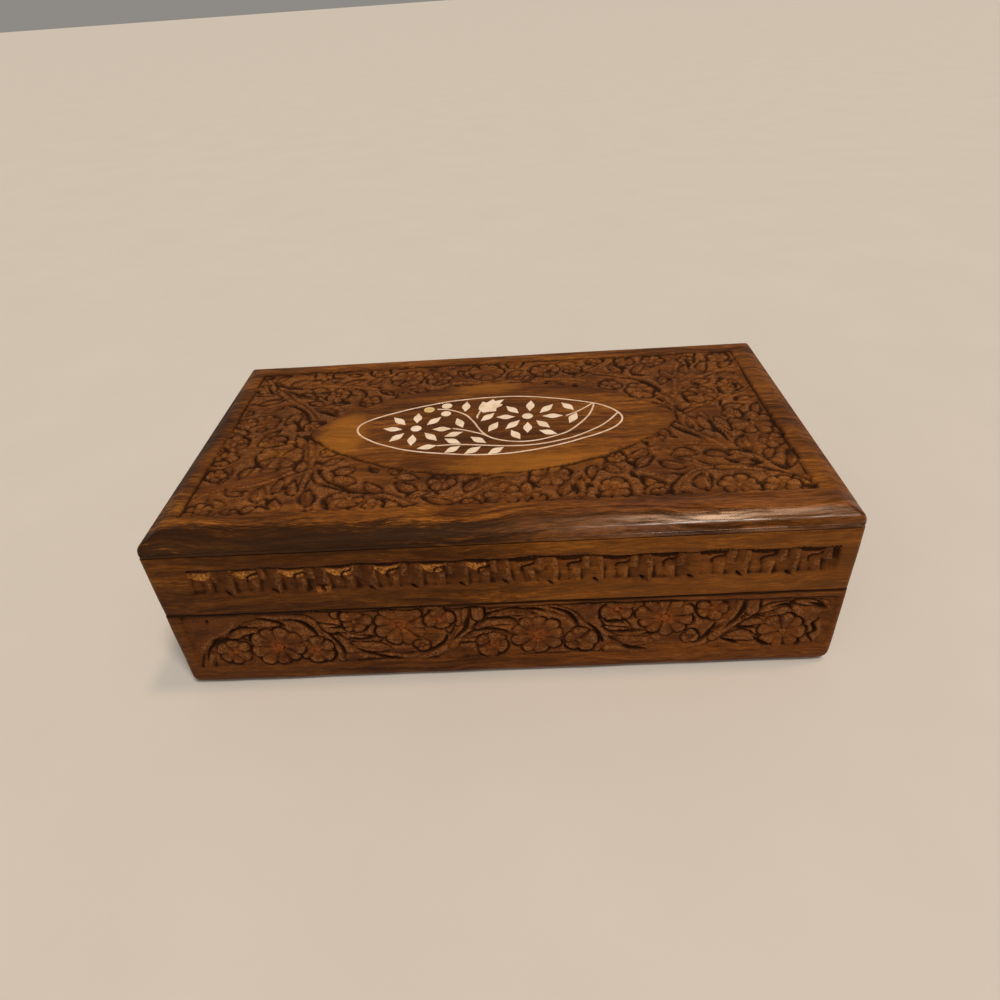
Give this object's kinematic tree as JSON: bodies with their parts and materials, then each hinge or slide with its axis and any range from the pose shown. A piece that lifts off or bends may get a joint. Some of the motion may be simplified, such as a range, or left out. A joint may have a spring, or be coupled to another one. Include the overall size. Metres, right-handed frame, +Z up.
{
  "type": "trinket box",
  "caption": "Hinged wooden keepsake box with relief-carved walls and lid, and a white flower spray inlaid in a plain pointed oval on the lid.",
  "frame": {"origin": "middle of the underside", "axes": "+X to the right along the front, +Y from the front to the hinges, +Z up"},
  "size_m": [0.2008, 0.1158, 0.0581],
  "materials": {
    "carved_wood": "oiled and waxed carved hardwood",
    "lid_wood": "waxed hardwood, satin",
    "board_wood": "plain sawn board",
    "brass": "dulled brass",
    "steel": "small wire nails",
    "velvet": "short-pile velvet",
    "bone": "bone-white inlay, sanded flush",
    "yellow_bone": "yellowed inlay, sanded flush"
  },
  "bodies": {
    "base": {"base_front_wall": "carved_wood", "base_back_wall": "carved_wood", "base_left_wall": "carved_wood", "base_right_wall": "carved_wood", "bottom_board": "board_wood", "bottom_brads": "steel", "floor_lining": "velvet", "lining_front": "velvet", "lining_back": "velvet", "lining_left": "velvet", "lining_right": "velvet", "hinge_left_base_leaf": "brass", "hinge_right_base_leaf": "brass", "hinge_left_pin": "brass", "hinge_right_pin": "brass", "base_hinge_screws": "brass"},
    "lid": {"hinge_left_lid_leaf": "brass", "hinge_right_lid_leaf": "brass", "inlay_berries": "bone", "inlay_border": "bone", "inlay_bud": "bone", "inlay_bud_stem": "bone", "inlay_flower_centres": "bone", "inlay_leaves": "bone", "inlay_petals": "bone", "inlay_vines": "bone", "inlay_yellow_berry": "yellow_bone", "lid_back_rail": "carved_wood", "lid_front_rail": "carved_wood", "lid_hinge_screws": "brass", "lid_left_rail": "carved_wood", "lid_lining": "velvet", "lid_panel": "lid_wood", "lid_right_rail": "carved_wood"}
  },
  "joints": [
    {"name": "lid_hinge", "type": "hinge", "parent": "base", "child": "lid", "pos_m": [0, 0.0554, 0.03015], "axis": [-1, 0, 0], "range_deg": [0, 100]}
  ]
}
